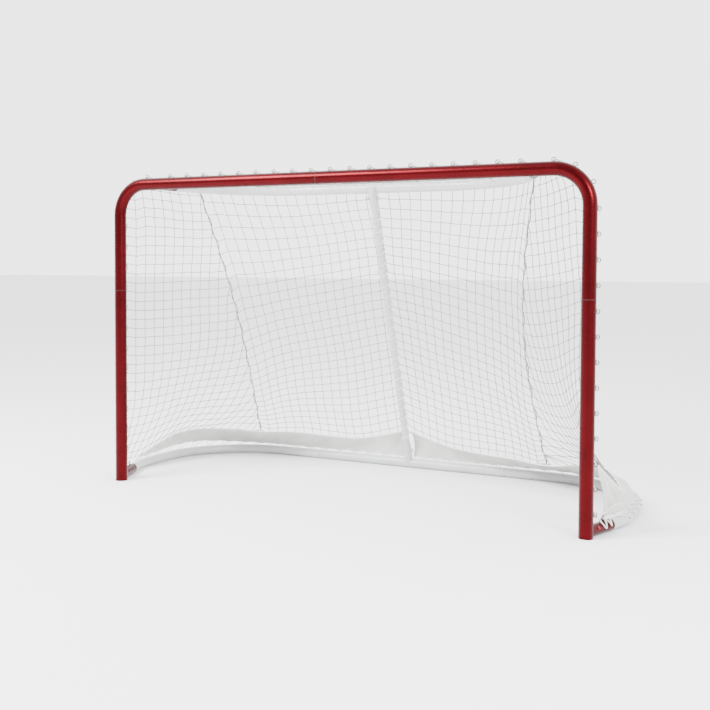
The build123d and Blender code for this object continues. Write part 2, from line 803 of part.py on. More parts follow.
for snap in SNAPS.values():
    save(f"button_{snap.name}", snap.button())
    save(f"clip_{snap.name}", snap.clip())
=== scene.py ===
"""Looks of the hockey goal net: steel materials, knotted twine, skirt cloth and lacing.

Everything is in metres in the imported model's frame: +X right, +Y into the goal, +Z up.
"""
import json
import math

import bpy
import numpy as np
from mathutils import Matrix, Vector


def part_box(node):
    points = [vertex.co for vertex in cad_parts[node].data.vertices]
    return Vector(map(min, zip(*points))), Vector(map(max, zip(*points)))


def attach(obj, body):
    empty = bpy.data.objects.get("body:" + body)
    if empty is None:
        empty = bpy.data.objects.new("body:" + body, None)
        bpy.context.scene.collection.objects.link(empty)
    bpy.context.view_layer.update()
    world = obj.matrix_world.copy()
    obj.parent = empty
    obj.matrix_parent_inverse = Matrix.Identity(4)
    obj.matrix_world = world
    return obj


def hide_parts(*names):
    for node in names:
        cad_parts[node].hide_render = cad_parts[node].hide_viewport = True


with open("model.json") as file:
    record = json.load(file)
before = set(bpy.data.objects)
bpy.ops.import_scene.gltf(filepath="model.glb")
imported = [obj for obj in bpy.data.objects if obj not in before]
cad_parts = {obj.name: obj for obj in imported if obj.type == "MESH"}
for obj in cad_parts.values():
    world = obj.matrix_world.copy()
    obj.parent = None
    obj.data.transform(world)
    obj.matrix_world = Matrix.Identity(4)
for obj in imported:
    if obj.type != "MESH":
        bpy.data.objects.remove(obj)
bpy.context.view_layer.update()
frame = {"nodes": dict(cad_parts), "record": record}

RANDOM = np.random.default_rng(7)
ROOT = "goal_frame"

# ---------------------------------------------------------------- frame sizes
# Tube diameters, bends and joint places are the CAD's own. The rest is read from the nodes' boxes.
FRONT_TUBE = 0.048
REAR_TUBE = 0.038
POLE_TUBE = 0.028
POST_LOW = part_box("right_lower_post")[0]
GOAL_Y = POST_LOW[1] + FRONT_TUBE / 2
POST_X = POST_LOW[0] + FRONT_TUBE / 2
SIDE_LOW, SIDE_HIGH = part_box("right_base_tube")
BASE_Z = SIDE_LOW[2] + REAR_TUBE / 2
BASE_BACK = SIDE_HIGH[1] - REAR_TUBE / 2 - GOAL_Y
BASE_SIDE = SIDE_HIGH[0] - REAR_TUBE / 2
CORNER_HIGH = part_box("right_corner_tube")[1]
CROSSBAR_Z = CORNER_HIGH[2] - FRONT_TUBE / 2
CORNER_RADIUS = 0.120           # bend between post and crossbar
BASE_CORNER = 0.400             # bend at the back of the base
STUB_SPLAY = 20.0               # degrees that the base stubs turn outwards
POST_JOINT = 0.772              # height of the seam in each post
CROSSBAR_JOINT = -0.042
BASE_JOINT = 0.430

# ---------------------------------------------------------------- netting and cord sizes
MESH = 0.038                    # knot to knot
TWINE = 0.0013                  # radius
KNOT = 0.0024
SLACK = 1.03                    # a mesh bar's length against its share of the panel
SEAM_TWINE = 0.0021
BORDER = 0.0022
LACE = 0.0025                   # radius of the post and crossbar lacing
THIN_LACE = 0.0019              # and of the base and pole lacing
STITCH = 0.070                  # between the ties that hold the skirt to the base tube
POLE_WIND = 0.046               # along the pole for one turn of its lacing
SIDE_ROWS = {-1: 31, 1: 27}
BACK_GRID = (29, 17)            # rows and columns of half the back
TOP_GRID = (10, 20)             # and of half the top
EYELET_PITCH = 0.0826           # along the posts
EYELET_FIRST = 0.073
EYELET_COUNT = 13
BAR_PITCH = 0.0784              # along the crossbar
BAR_COUNT = 19
BAR_END = 0.816                 # the crossbar's outermost eyelets
CORNER_EYELETS = ((27.0, 32.0), (59.0, 40.0))   # place on the bend from upright, lean back
POST_LEAN = 46.0                # degrees that the post's rings lean back
CROSSBAR_LEAN = 25.0            # and the crossbar's
EYELET_REACH = FRONT_TUBE / 2 + 0.01035
EYELET_RING = 0.00715
EYELET_WIRE = 0.0016
EYELET_FOOT = 0.036
NET_BACK = 0.036                # net's edge behind the post and crossbar axes
NET_OUT_LOW = 0.004             # and outside them, on the posts
NET_OUT_HIGH = 0.022            # and above them, on the crossbar
ROW_DROP = 0.16                 # share of its height that the back netting's rows drop at the seams
NET_FLARE = {-1: 0.45, 1: 0.11}  # share of the side netting that spreads to the base
STUB_EYELET = 0.100             # from the post along the base stub


def at(x, y, z):
    """Point given from the goal line."""
    return np.array([x, y + GOAL_Y, z])


def unit(vector):
    vector = np.asarray(vector, float)
    return vector / np.linalg.norm(vector)


def smooth_curve(points, samples):
    """Catmull-Rom curve through points, as samples evenly spaced along it."""
    points = np.asarray(points, float)
    padded = np.vstack([2 * points[0] - points[1], points, 2 * points[-1] - points[-2]])
    steps = np.linspace(0, 1, 24, endpoint=False)[:, None]
    runs = []
    for a, b, c, d in zip(padded[:-3], padded[1:-2], padded[2:-1], padded[3:]):
        runs.append(0.5 * (
            2 * b + (c - a) * steps
            + (2 * a - 5 * b + 4 * c - d) * steps ** 2
            + (3 * b - a - 3 * c + d) * steps ** 3
        ))
    return resample(np.vstack(runs + [points[-1:]]), samples)


def lengths(line):
    """Distance along a line at each of its points."""
    steps = np.linalg.norm(np.diff(line, axis=0), axis=1)
    return np.concatenate([[0.0], np.cumsum(steps)])


def resample(line, samples):
    along = lengths(line)
    wanted = np.linspace(0, along[-1], samples)
    return np.stack([np.interp(wanted, along, line[:, axis]) for axis in range(3)], axis=1)


def follow(line):
    """A line as a function of 0 to 1 along its length."""
    along = lengths(line) / lengths(line)[-1]
    return lambda share: np.array([np.interp(share, along, line[:, axis]) for axis in range(3)])


def by_height(line):
    """A rising line as a function of 0 to 1 of its height."""
    rising = np.maximum.accumulate(line[:, 2]) + np.arange(len(line)) * 1e-6
    low, high = rising[0], rising[-1]
    return lambda share: np.array([
        np.interp(low + (high - low) * share, rising, line[:, axis]) for axis in range(3)
    ])


# ---------------------------------------------------------------- mesh building
class MeshPile:
    """Collects vertices and faces for one piece."""

    def __init__(self):
        self.points = []
        self.faces = []
        self.kinds = []

    def add(self, points, faces, kind=0):
        start = len(self.points)
        self.points.extend(np.asarray(points, float).tolist())
        self.faces.extend([[start + index for index in face] for face in faces])
        self.kinds.extend([kind] * len(faces))

    def tube(self, line, radius, sides=6, closed=False, kind=0):
        """Round tube of one radius, or one radius per point, with capped ends."""
        line = np.asarray(line, float)
        count = len(line)
        radii = np.broadcast_to(radius, count)
        if closed:
            tangents = np.roll(line, -1, axis=0) - np.roll(line, 1, axis=0)
        else:
            tangents = np.gradient(line, axis=0)
        tangents /= np.linalg.norm(tangents, axis=1, keepdims=True) + 1e-12
        side = np.cross(tangents[0], [0, 0, 1])
        if np.linalg.norm(side) < 1e-3:
            side = np.cross(tangents[0], [1, 0, 0])
        side = unit(side)
        angles = np.linspace(0, 2 * math.pi, sides, endpoint=False)
        rings = []
        for point, tangent, size in zip(line, tangents, radii):
            side = unit(side - tangent * (side @ tangent))
            other = np.cross(tangent, side)
            circle = np.outer(np.cos(angles), side) + np.outer(np.sin(angles), other)
            rings.append(point + size * circle)
        faces = []
        runs = count if closed else count - 1
        for ring in range(runs):
            after = (ring + 1) % count
            for corner in range(sides):
                turn = (corner + 1) % sides
                faces.append([
                    ring * sides + corner, ring * sides + turn,
                    after * sides + turn, after * sides + corner,
                ])
        if not closed:
            faces.append(list(range(sides))[::-1])
            faces.append([(count - 1) * sides + corner for corner in range(sides)])
        self.add(np.vstack(rings), faces, kind)

    def knot(self, centre, size, lean):
        """Small twisted lump where two twines cross."""
        shape = KNOT_POINTS * size * np.array([1.0, 0.8, 1.15])
        cos, sin = math.cos(lean), math.sin(lean)
        turn = np.array([[cos, 0, sin], [0, 1, 0], [-sin, 0, cos]])
        self.add(shape @ turn.T + centre, KNOT_FACES)

    def piece(self, name, *materials):
        mesh = bpy.data.meshes.new(name)
        mesh.from_pydata(self.points, [], self.faces)
        mesh.update()
        mesh.polygons.foreach_set("use_smooth", [True] * len(mesh.polygons))
        for material in materials:
            mesh.materials.append(material)
        if len(materials) > 1:
            mesh.polygons.foreach_set("material_index", self.kinds)
        made = bpy.data.objects.new(name, mesh)
        bpy.context.scene.collection.objects.link(made)
        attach(made, ROOT)
        return made


def unit_knot():
    """Points and faces of a round lump with a flat-sided, knot-like outline."""
    rows = [(-1.0, 0.0), (-0.55, 0.85), (0.1, 1.0), (0.65, 0.75), (1.0, 0.0)]
    points = [[0, 0, rows[0][0]]]
    for height, width in rows[1:-1]:
        for corner in range(6):
            turn = corner * math.pi / 3 + height
            points.append([width * math.cos(turn), width * math.sin(turn), height])
    points.append([0, 0, rows[-1][0]])
    faces = []
    for corner in range(6):
        turn = (corner + 1) % 6
        faces.append([0, 1 + turn, 1 + corner])
        for row in range(2):
            low = 1 + row * 6
            faces.append([low + corner, low + turn, low + 6 + turn, low + 6 + corner])
        faces.append([13 + corner, 13 + turn, 19])
    return np.array(points), faces


KNOT_POINTS, KNOT_FACES = unit_knot()


# ---------------------------------------------------------------- materials
def new_material(name):
    material = bpy.data.materials.new(name)
    material.use_nodes = True
    nodes = material.node_tree.nodes
    return material, nodes, material.node_tree.links, nodes["Principled BSDF"]


def add_noise(nodes, links, scale, detail=4.0, rough=0.55):
    coordinates = nodes.new("ShaderNodeTexCoord")
    noise = nodes.new("ShaderNodeTexNoise")
    noise.inputs["Scale"].default_value = scale
    noise.inputs["Detail"].default_value = detail
    noise.inputs["Roughness"].default_value = rough
    links.new(coordinates.outputs["Object"], noise.inputs["Vector"])
    return noise


def add_ramp(nodes, links, source, stops):
    ramp = nodes.new("ShaderNodeValToRGB")
    while len(ramp.color_ramp.elements) < len(stops):
        ramp.color_ramp.elements.new(0.5)
    for element, (place, colour) in zip(ramp.color_ramp.elements, stops):
        element.position = place
        element.color = (*colour, 1.0)
    links.new(source, ramp.inputs["Fac"])
    return ramp


def add_range(nodes, links, source, low, high):
    spread = nodes.new("ShaderNodeMapRange")
    spread.inputs["To Min"].default_value = low
    spread.inputs["To Max"].default_value = high
    links.new(source, spread.inputs["Value"])
    return spread


def add_bump(nodes, links, shader, source, strength, distance, under=None):
    bump = nodes.new("ShaderNodeBump")
    bump.inputs["Strength"].default_value = strength
    bump.inputs["Distance"].default_value = distance
    links.new(source, bump.inputs["Height"])
    if under:
        links.new(under.outputs["Normal"], bump.inputs["Normal"])
    links.new(bump.outputs["Normal"], shader.inputs["Normal"])
    return bump


def paint(name, dark, light, metallic, rough, coat):
    """Gloss powder coat with soft colour drift, orange peel and patches of duller gloss."""
    material, nodes, links, shader = new_material(name)
    drift = add_noise(nodes, links, 9.0)
    colour = add_ramp(nodes, links, drift.outputs["Fac"], [(0.3, dark), (0.7, light)])
    links.new(colour.outputs["Color"], shader.inputs["Base Color"])
    dust = add_noise(nodes, links, 60.0, 6.0)
    spread = add_range(nodes, links, dust.outputs["Fac"], rough - 0.05, rough + 0.10)
    links.new(spread.outputs["Result"], shader.inputs["Roughness"])
    peel = add_noise(nodes, links, 420.0, 2.0)
    add_bump(nodes, links, shader, peel.outputs["Fac"], 0.012, 0.0002)
    shader.inputs["Metallic"].default_value = metallic
    shader.inputs["Specular IOR Level"].default_value = 0.25
    shader.inputs["Coat Weight"].default_value = coat
    shader.inputs["Coat Roughness"].default_value = 0.08
    return material


def metal(name, dark, light, rough):
    material, nodes, links, shader = new_material(name)
    drift = add_noise(nodes, links, 120.0, 6.0)
    colour = add_ramp(nodes, links, drift.outputs["Fac"], [(0.35, dark), (0.65, light)])
    links.new(colour.outputs["Color"], shader.inputs["Base Color"])
    spread = add_range(nodes, links, drift.outputs["Fac"], rough - 0.08, rough + 0.12)
    links.new(spread.outputs["Result"], shader.inputs["Roughness"])
    scratches = add_noise(nodes, links, 900.0, 3.0)
    add_bump(nodes, links, shader, scratches.outputs["Fac"], 0.15, 0.0003)
    shader.inputs["Metallic"].default_value = 1.0
    return material


def cord_material(name, dark, light, strand):
    """Nylon cord: laid or braided strands as fine slanting bands, with grubby drift."""
    material, nodes, links, shader = new_material(name)
    drift = add_noise(nodes, links, 14.0)
    colour = add_ramp(nodes, links, drift.outputs["Fac"], [(0.3, dark), (0.7, light)])
    links.new(colour.outputs["Color"], shader.inputs["Base Color"])
    coordinates = nodes.new("ShaderNodeTexCoord")
    bands = nodes.new("ShaderNodeTexWave")
    bands.bands_direction = "DIAGONAL"
    bands.inputs["Scale"].default_value = strand
    bands.inputs["Distortion"].default_value = 1.5
    links.new(coordinates.outputs["Object"], bands.inputs["Vector"])
    add_bump(nodes, links, shader, bands.outputs["Fac"], 0.5, 0.0005)
    shader.inputs["Roughness"].default_value = 0.62
    shader.inputs["Sheen Weight"].default_value = 0.25
    shader.inputs["Subsurface Weight"].default_value = 0.15
    shader.inputs["Subsurface Radius"].default_value = (0.002, 0.002, 0.002)
    return material


def cloth_material(name, dark, light):
    """Tightly woven nylon: crossed yarns, with creases over them."""
    material, nodes, links, shader = new_material(name)
    drift = add_noise(nodes, links, 7.0, 5.0)
    colour = add_ramp(nodes, links, drift.outputs["Fac"], [(0.3, dark), (0.7, light)])
    links.new(colour.outputs["Color"], shader.inputs["Base Color"])
    coordinates = nodes.new("ShaderNodeTexCoord")
    height = None
    for axis in ("X", "Z"):
        yarn = nodes.new("ShaderNodeTexWave")
        yarn.bands_direction = axis
        yarn.inputs["Scale"].default_value = 260.0
        yarn.inputs["Distortion"].default_value = 0.4
        links.new(coordinates.outputs["Object"], yarn.inputs["Vector"])
        if height is None:
            height = yarn.outputs["Fac"]
        else:
            both = nodes.new("ShaderNodeMath")
            both.operation = "MULTIPLY"
            links.new(height, both.inputs[0])
            links.new(yarn.outputs["Fac"], both.inputs[1])
            height = both.outputs["Value"]
    weave = add_bump(nodes, links, shader, height, 0.35, 0.0004)
    creases = add_noise(nodes, links, 26.0, 6.0, 0.7)
    add_bump(nodes, links, shader, creases.outputs["Fac"], 0.35, 0.004, weave)
    shader.inputs["Roughness"].default_value = 0.75
    shader.inputs["Sheen Weight"].default_value = 0.3
    return material


def plastic(name, colour, rough):
    material, nodes, links, shader = new_material(name)
    drift = add_noise(nodes, links, 300.0, 3.0)
    lighter = tuple(channel * 1.3 + 0.01 for channel in colour)
    shades = add_ramp(nodes, links, drift.outputs["Fac"], [(0.35, colour), (0.65, lighter)])
    links.new(shades.outputs["Color"], shader.inputs["Base Color"])
    add_bump(nodes, links, shader, drift.outputs["Fac"], 0.15, 0.0003)
    shader.inputs["Roughness"].default_value = rough
    return material


RED = paint("red_powder_coat", (0.050, 0.0006, 0.0018), (0.066, 0.001, 0.003), 0.80, 0.27, 0.0)
WHITE = paint("white_powder_coat", (0.46, 0.47, 0.47), (0.53, 0.54, 0.54), 0.0, 0.30, 0.3)
BUTTON = paint("red_button", (0.22, 0.003, 0.008), (0.27, 0.006, 0.012), 0.5, 0.30, 0.1)
RING = metal("eyelet_wire", (0.07, 0.03, 0.03), (0.20, 0.14, 0.14), 0.42)
SPRING = metal("spring_leaf", (0.35, 0.35, 0.36), (0.50, 0.50, 0.52), 0.30)
ZINC = metal("zinc_plate", (0.55, 0.55, 0.56), (0.75, 0.75, 0.78), 0.30)
PLUG = plastic("black_plug", (0.02, 0.02, 0.02), 0.55)
# Near-black colour of the joint rings: painted shade, standing in for the shade in the seams between
# tube ends.
SEAM_SHADE = plastic("joint_seam_shade", (0.03, 0.02, 0.02), 0.8)
# The net's twine is white. Its dark grey base colour is painted shade, standing in for the shading of
# the thin twine lines against the bright backdrop.
TWINE_PAINTED_SHADE = cord_material("net_twine", (0.16, 0.16, 0.15), (0.24, 0.24, 0.225), 500.0)
LACE_CLOTH = cord_material("lacing_braid", (0.72, 0.72, 0.70), (0.84, 0.84, 0.83), 420.0)
SKIRT_CLOTH = cloth_material("skirt_weave", (0.50, 0.50, 0.485), (0.58, 0.58, 0.565))
HEM_CLOTH = cloth_material("hem_tape", (0.78, 0.78, 0.77), (0.86, 0.86, 0.85))

CAD_FINISH = {
    "red_frame": RED, "white_frame": WHITE, "red_button": BUTTON,
    "spring_steel": SPRING, "zinc_hardware": ZINC, "black_plug": PLUG,
}


def finish_cad_nodes():
    """Give each steel and plastic CAD node that stays in view its finish."""
    for part in frame["record"]["subparts"]:
        material = CAD_FINISH.get(part["material_slot"])
        if material is None:
            continue
        mesh_object = frame["nodes"][part["node"]]
        mesh_object.data.materials.clear()
        mesh_object.data.materials.append(material)


# ---------------------------------------------------------------- shared outlines
def leaning(radial, lean):
    """Direction out of a tube that leans back towards the net."""
    angle = math.radians(lean)
    return np.array(radial) * math.cos(angle) + np.array([0, math.sin(angle), 0])


def corner_frame(side, angle, lean):
    """Axis point, ring direction and tangent on the bend, the angle counted from upright."""
    turn = math.radians(angle)
    radial = np.array([side * math.sin(turn), 0, math.cos(turn)])
    centre = at(side * (POST_X - CORNER_RADIUS), 0, CROSSBAR_Z - CORNER_RADIUS)
    tangent = np.array([side * math.cos(turn), 0, -math.sin(turn)])
    return centre + radial * CORNER_RADIUS, leaning(radial, lean), tangent


def post_stations(side):
    """Axis point, outward direction and tube direction at each eyelet of a post."""
    outward = leaning([side, 0, 0], POST_LEAN)
    return [
        (at(side * POST_X, 0, EYELET_FIRST + index * EYELET_PITCH), outward, np.array([0, 0, 1.0]))
        for index in range(EYELET_COUNT)
    ]


def crossbar_stations():
    first = -BAR_PITCH * (BAR_COUNT - 1) / 2
    places = [-BAR_END] + [first + index * BAR_PITCH for index in range(BAR_COUNT)] + [BAR_END]
    outward = leaning([0, 0, 1], CROSSBAR_LEAN)
    return [(at(x, 0, CROSSBAR_Z), outward, np.array([1.0, 0, 0])) for x in places]


def stub_point(side, distance, height=None):
    """Point on the axis of a base stub, which splays outwards."""
    splay = math.radians(STUB_SPLAY)
    z = BASE_Z if height is None else height
    return at(side * (POST_X + distance * math.sin(splay)), distance * math.cos(splay), z)


def pole_point(z):
    """Point on the leaning pole's axis."""
    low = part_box("centre_pole")[0]
    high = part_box("centre_pole")[1]
    lean_low = np.array([0, high[1] - POLE_TUBE / 2, low[2]])
    lean_high = np.array([0, low[1] + POLE_TUBE / 2, high[2]])
    share = (z - lean_low[2]) / (lean_high[2] - lean_low[2])
    return lean_low + (lean_high - lean_low) * share


SEAM_LOW = {-1: (0.646, 0.615, 0.138), 1: (0.646, 0.620, 0.104)}
SEAM_HIGH = (0.700, 0.205, 1.192)
SEAM_PULL = (-0.056, -0.036)


def seam_line(side):
    """Seam between side and back netting, hanging inwards between its ends."""
    low = np.array(SEAM_LOW[side])
    high = np.array(SEAM_HIGH)
    line = []
    for share in np.linspace(0, 1, 60):
        pull = math.sin(math.pi * share)
        x, y, z = low + (high - low) * share
        line.append(at(side * (x + SEAM_PULL[0] * pull), y + SEAM_PULL[1] * pull, z))
    return np.array(line)


def post_edge(side):
    """Net edge beside the eyelets: up the post and over the bend."""
    low = 0.060
    bend = CROSSBAR_Z - CORNER_RADIUS
    line = [at(side * (POST_X + NET_OUT_LOW), NET_BACK, z) for z in np.linspace(low, bend, 60)]
    for share in np.linspace(0, 1, 16)[1:]:
        turn = share * math.pi / 2
        radius = CORNER_RADIUS + NET_OUT_LOW + (NET_OUT_HIGH - NET_OUT_LOW) * share
        x = POST_X - CORNER_RADIUS + radius * math.cos(turn)
        line.append(at(side * x, NET_BACK, bend + radius * math.sin(turn)))
    return np.array(line)


SKIRT_TOPS = {
    -1: [
        (1.004, 0.215, 0.060), (0.985, 0.300, 0.095), (0.950, 0.420, 0.132), (0.880, 0.520, 0.140),
        (0.780, 0.590, 0.135), (0.646, 0.615, 0.132), (0.500, 0.680, 0.130), (0.350, 0.715, 0.120),
        (0.200, 0.735, 0.120), (0.022, 0.762, 0.158),
    ],
    1: [
        (0.962, 0.040, 0.236), (0.990, 0.130, 0.170), (1.000, 0.240, 0.118),
        (0.980, 0.330, 0.108), (0.942, 0.420, 0.122), (0.880, 0.520, 0.130),
        (0.780, 0.590, 0.118), (0.646, 0.620, 0.098), (0.500, 0.680, 0.100), (0.350, 0.715, 0.102),
        (0.200, 0.735, 0.116), (0.022, 0.762, 0.158),
    ],
}


def skirt_top(side, samples=120):
    return smooth_curve([at(side * x, y, z) for x, y, z in SKIRT_TOPS[side]], samples)


def base_line(side, height, inset, samples, start=0.200):
    """Line that follows the stub and the curved base at a height, inset from their axes."""
    out = BASE_SIDE - inset
    back = BASE_BACK - inset
    radius = BASE_CORNER - inset
    line = [stub_point(side, share, height) - [side * inset, 0, 0] for share in (start, 0.228)]
    line.append(at(side * out, 0.275, height))
    for turn in np.linspace(0, math.pi / 2, 30):
        x = out - radius + radius * math.cos(turn)
        y = back - radius + radius * math.sin(turn)
        line.append(at(side * x, y, height))
    line.append(at(side * 0.024, back, height))
    return resample(np.array(line), samples)


def shelf_edge(side, rise=0.0):
    """Outer line round the shelf where top and back netting meet, from the seam to the middle."""
    high = CROSSBAR_Z - 0.005 + rise
    points = [
        (SEAM_HIGH[0], SEAM_HIGH[1], SEAM_HIGH[2] + rise), (0.600, 0.312, high - 0.008),
        (0.450, 0.395, high - 0.010), (0.250, 0.424, high - 0.011), (0.0, 0.426, high - 0.011),
    ]
    return smooth_curve([at(side * x, y, z) for x, y, z in points], 80)


def patch(bottom, top, near, far, flare=2.2):
    """Surface hung between four edges, whose lower bulge fades out over the flare."""
    def point(u, v):
        across = near(v) * (1 - u) + far(v) * u
        low = bottom(0) * (1 - u) + bottom(1) * u
        high = top(0) * (1 - u) + top(1) * u
        return across + (bottom(u) - low) * max(0.0, 1 - v / flare) ** 2 + (top(u) - high) * v
    return point


# ---------------------------------------------------------------- netting
class Netting:
    """Square mesh hung on a surface: even columns, or columns cut off where the rows end."""

    def __init__(self, surface, rows, columns=None, inset=None):
        self.points = []
        self.pinned = []
        self.bars = []
        below = None
        for row in range(rows + 1):
            v = row / rows
            line = np.array([surface(u, v) for u in np.linspace(0, 1, 33)])
            along = lengths(line)
            if columns:
                places = {k: along[-1] * k / columns for k in range(columns + 1)}
            else:
                places = self.cut_columns(along[-1], inset(line[0]))
            ids = {}
            for column, place in sorted(places.items()):
                point = [np.interp(place, along, line[:, axis]) for axis in range(3)]
                edge = row in (0, rows) or column in (min(places), max(places))
                ids[column] = self.add(point, edge)
            run = [ids[column] for column in sorted(ids)]
            self.bars += list(zip(run[:-1], run[1:]))
            if below:
                for column in below:
                    nearest = min(max(column, min(ids)), max(ids))
                    self.bars.append((below[column], ids[nearest]))
                for column in ids:
                    if column not in below:
                        nearest = min(max(column, min(below)), max(below))
                        self.bars.append((below[nearest], ids[column]))
            below = ids

    @staticmethod
    def cut_columns(length, start):
        """Columns of one row at whole steps from the post line, with its own two ends."""
        first = math.ceil(start / MESH + 0.3)
        last = math.floor((start + length) / MESH - 0.3)
        places = {column: column * MESH - start for column in range(first, last + 1)}
        places[first - 1] = 0.0
        places[last + 1] = length
        return places

    def add(self, point, pinned):
        self.points.append(point)
        self.pinned.append(pinned)
        return len(self.points) - 1

    def relax(self, steps, slack, weight, sway):
        """Let the twine sag: bars hold their length, edges stay where they are tied."""
        points = np.array(self.points)
        bars = np.array(self.bars)
        free = (~np.array(self.pinned)).astype(float)[:, None]
        points += free * sway(points)
        rest = np.linalg.norm(points[bars[:, 0]] - points[bars[:, 1]], axis=1)
        rest = np.minimum(rest, MESH * 1.3) * slack
        share = np.zeros(len(points))
        np.add.at(share, bars.ravel(), 1.0)
        for _ in range(steps):
            points[:, 2] -= free[:, 0] * weight
            for _ in range(6):
                gap = points[bars[:, 1]] - points[bars[:, 0]]
                size = np.linalg.norm(gap, axis=1) + 1e-9
                stretch = np.maximum(size - rest, 0.0) / size
                move = gap * (0.5 * stretch)[:, None]
                shift = np.zeros_like(points)
                np.add.at(shift, bars[:, 0], move)
                np.add.at(shift, bars[:, 1], -move)
                points += free * shift * (1.6 / np.maximum(share, 1.0))[:, None]
        self.points = points

    def build(self, name, *edges):
        pile = MeshPile()
        points = np.asarray(self.points)
        for first, second in self.bars:
            a, b = points[first], points[second]
            middle = (a + b) / 2 + RANDOM.normal(0, 0.0008, 3)
            pile.tube([a, middle, b], TWINE, 5)
        for index, point in enumerate(points):
            if not self.pinned[index]:
                pile.knot(point, KNOT, RANDOM.uniform(0, math.pi))
        for line, radius in edges:
            pile.tube(line, radius, 6)
        piece = pile.piece(name, TWINE_PAINTED_SHADE)
        return piece


def soft_sway(amount, scale, phase):
    """Low, uneven drift that keeps the mesh from looking ruled."""
    def sway(points):
        x, y, z = (points * scale).T
        return amount * np.stack([
            np.sin(2.1 * z + phase) * np.cos(1.7 * y),
            np.sin(1.3 * x + 2.3 * z + phase),
            np.cos(1.9 * x + phase) * np.sin(1.1 * y + z),
        ], axis=1)
    return sway


def side_surface(side):
    top_line = skirt_top(side)
    meet = SEAM_LOW[side]
    corner = at(side * meet[0], meet[1], meet[2])
    nearest = int(np.argmin(np.linalg.norm(top_line - corner, axis=1)))
    edge = post_edge(side)
    start = [edge[0], at(side * 0.988, 0.082, 0.062), at(side * 1.001, 0.130, 0.060)]
    bottom = np.vstack([smooth_curve(start + [top_line[0]], 20)[:-1], top_line[:nearest], [corner]])
    if side > 0:
        edge = edge[edge[:, 2] > 0.230]
        bottom = np.vstack([[edge[0]], top_line[2:nearest], [corner]])
    seam = seam_line(side)
    top = np.array([edge[-1], seam[-1]])
    return patch(
        follow(bottom), follow(resample(top, 12)), by_height(edge), by_height(seam),
        NET_FLARE[side],
    )


def back_surface(side):
    top_line = skirt_top(side)
    seam = seam_line(side)
    nearest = int(np.argmin(np.linalg.norm(top_line - seam[0], axis=1)))
    behind = np.array([0, POLE_TUBE / 2 + 0.008, 0])
    low = pole_point(0.162) + behind
    shelf = shelf_edge(side)
    high = shelf[-1]
    bottom = np.vstack([[low], top_line[nearest:][::-1][1:], [seam[0]]])
    pole_line = resample(np.array([low, high]), 40)
    hung = patch(follow(bottom), follow(shelf[::-1]), follow(pole_line), follow(seam))

    def dragged(u, v):
        drop = ROW_DROP * math.exp(-(1 - u) / 0.42) * math.sin(math.pi * v)
        return hung(u, v - drop)

    return dragged


def top_surface(side):
    lip = CROSSBAR_Z + NET_OUT_HIGH
    outer = at(side * (POST_X - CORNER_RADIUS), NET_BACK, lip)
    front = resample(np.array([at(0, NET_BACK, lip), outer]), 30)
    shelf = shelf_edge(side, rise=0.026)[::-1]
    middle = resample(np.array([front[0], shelf[0]]), 12)
    rim = resample(np.array([outer, shelf[-1]]), 12)
    return patch(follow(front), follow(shelf), follow(middle), follow(rim))


def make_netting():
    for name, side in (("left", -1), ("right", 1)):
        netting = Netting(
            side_surface(side), SIDE_ROWS[side], inset=lambda start: POST_X - abs(start[0]),
        )
        netting.relax(40, SLACK, 0.0002, soft_sway(0.006, 6.0, side + 0.5))
        seam = seam_line(side)
        drift = np.cumsum(RANDOM.normal(0, 1, (60, 3)), axis=0)
        drift -= np.linspace(0, 1, 60)[:, None] * drift[-1]
        zigzag = np.sin(np.arange(60) * 1.25)[:, None] * [0.004, 0.003, 0]
        seam += zigzag + drift * 0.0008
        piece = netting.build(
            f"netting_{name}_side", (resample(seam, 60), SEAM_TWINE), (post_edge(side), BORDER),
        )
        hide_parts(f"net_{name}_side")

    halves = []
    for side in (-1, 1):
        netting = Netting(back_surface(side), *BACK_GRID)
        netting.relax(40, SLACK, 0.0002, soft_sway(0.007, 5.0, 2.0 * side))
        pile_edges = [(skirt_top(side), BORDER), (shelf_edge(side), BORDER)]
        halves.append(netting.build(f"netting_back_{'left' if side < 0 else 'right'}", *pile_edges))
    for half in halves:
        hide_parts("net_back")

    halves = []
    for side in (-1, 1):
        netting = Netting(top_surface(side), *TOP_GRID)
        netting.relax(30, SLACK, 0.0002, soft_sway(0.004, 5.0, side))
        halves.append(netting.build(
            f"netting_top_{'left' if side < 0 else 'right'}", (shelf_edge(side, 0.026), BORDER),
        ))
    for half in halves:
        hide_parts("net_top")


# ---------------------------------------------------------------- skirt
SKIRT_ROWS = 14
SKIRT_COLUMNS = 260


